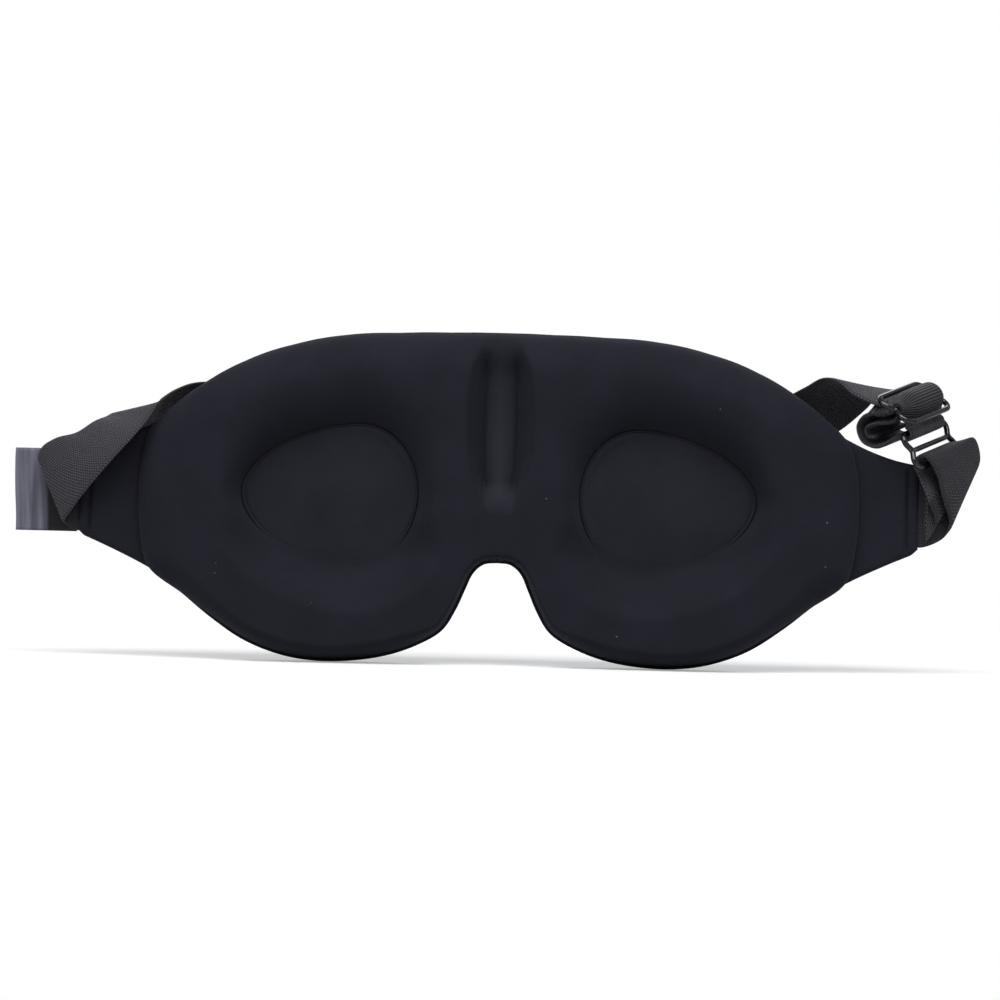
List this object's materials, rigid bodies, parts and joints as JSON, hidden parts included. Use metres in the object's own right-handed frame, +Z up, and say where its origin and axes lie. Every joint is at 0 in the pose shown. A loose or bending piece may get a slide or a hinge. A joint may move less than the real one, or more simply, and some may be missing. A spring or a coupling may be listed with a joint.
{
  "type": "sleep eye mask",
  "caption": "Contoured sleep eye mask: padded body with hollow eye cups and a nose notch, thin wings, and an elastic head strap with a wire slider and ring.",
  "frame": {"origin": "on the centre plane of the mask, level with the centres of the eye cups, in the plane of the pressed rim at the nose; this is within 1 mm of the middle of the bounding box", "axes": "+Z up towards the forehead, +X towards the wearer's right, -Y towards the wearer's face"},
  "size_m": [0.27, 0.0344, 0.0929],
  "materials": {
    "knit": "matt brushed knit, near black",
    "foam": "open-cell foam, dark grey",
    "webbing": "ribbed woven elastic, black",
    "thread": "sewing thread, black",
    "label_satin": "smooth satin, dark grey",
    "coated_wire": "glossy black coated wire"
  },
  "bodies": {
    "left_half": {"face_cover_left": "knit", "foam_core_left": "foam", "outer_cover_left": "knit", "eye_cup_floor_left": "knit", "strap_run_left": "webbing"},
    "right_half": {"face_cover_right": "knit", "foam_core_right": "foam", "outer_cover_right": "knit", "eye_cup_floor_right": "knit", "strap_run_right": "webbing"},
    "left_wing": {"wing_face_layer_left": "knit", "wing_outer_layer_left": "knit", "wing_stitching_left": "thread", "strap_end_left": "webbing"},
    "right_wing": {"wing_face_layer_right": "knit", "wing_outer_layer_right": "knit", "wing_stitching_right": "thread", "short_loop": "webbing", "strap_arch": "webbing"},
    "label": {"label": "label_satin"},
    "ring": {"ring": "coated_wire", "strap_bight": "webbing"},
    "slider_strap": {"strap_over_slider": "webbing", "strap_return": "webbing"},
    "slider": {"slider": "coated_wire"}
  },
  "joints": [
    {"name": "nose_fold", "type": "hinge", "parent": "left_half", "child": "right_half", "pos_m": [0, 0.002, 0], "axis": [0, 0, -1], "range_deg": [-10, 45]},
    {"name": "left_wing_flex", "type": "hinge", "parent": "left_half", "child": "left_wing", "pos_m": [-0.1008, -0.0052, 0], "axis": [0, 0, 1], "range_deg": [-10, 25]},
    {"name": "right_wing_flex", "type": "hinge", "parent": "right_half", "child": "right_wing", "pos_m": [0.1008, -0.0052, 0], "axis": [0, 0, -1], "range_deg": [-10, 25]},
    {"name": "label_flap", "type": "hinge", "parent": "left_wing", "child": "label", "pos_m": [-0.1176, -0.0041, 0], "axis": [0, 0, -1], "range_deg": [0, 40]},
    {"name": "ring_tilt", "type": "hinge", "parent": "right_wing", "child": "ring", "pos_m": [0.12339, -0.00669, 0.01166], "axis": [0.5554, 0.8005, 0.2252], "range_deg": [-6, 8]},
    {"name": "slider_slide", "type": "slide", "parent": "ring", "child": "slider_strap", "axis": [-0.8282, 0.5084, 0.2357], "range_m": [0, 0.004]},
    {"name": "slider_tilt", "type": "hinge", "parent": "slider_strap", "child": "slider", "pos_m": [0.1154, -0.006, 0.0289], "axis": [-0.5554, -0.8005, -0.2252], "range_deg": [0, 8]}
  ]
}
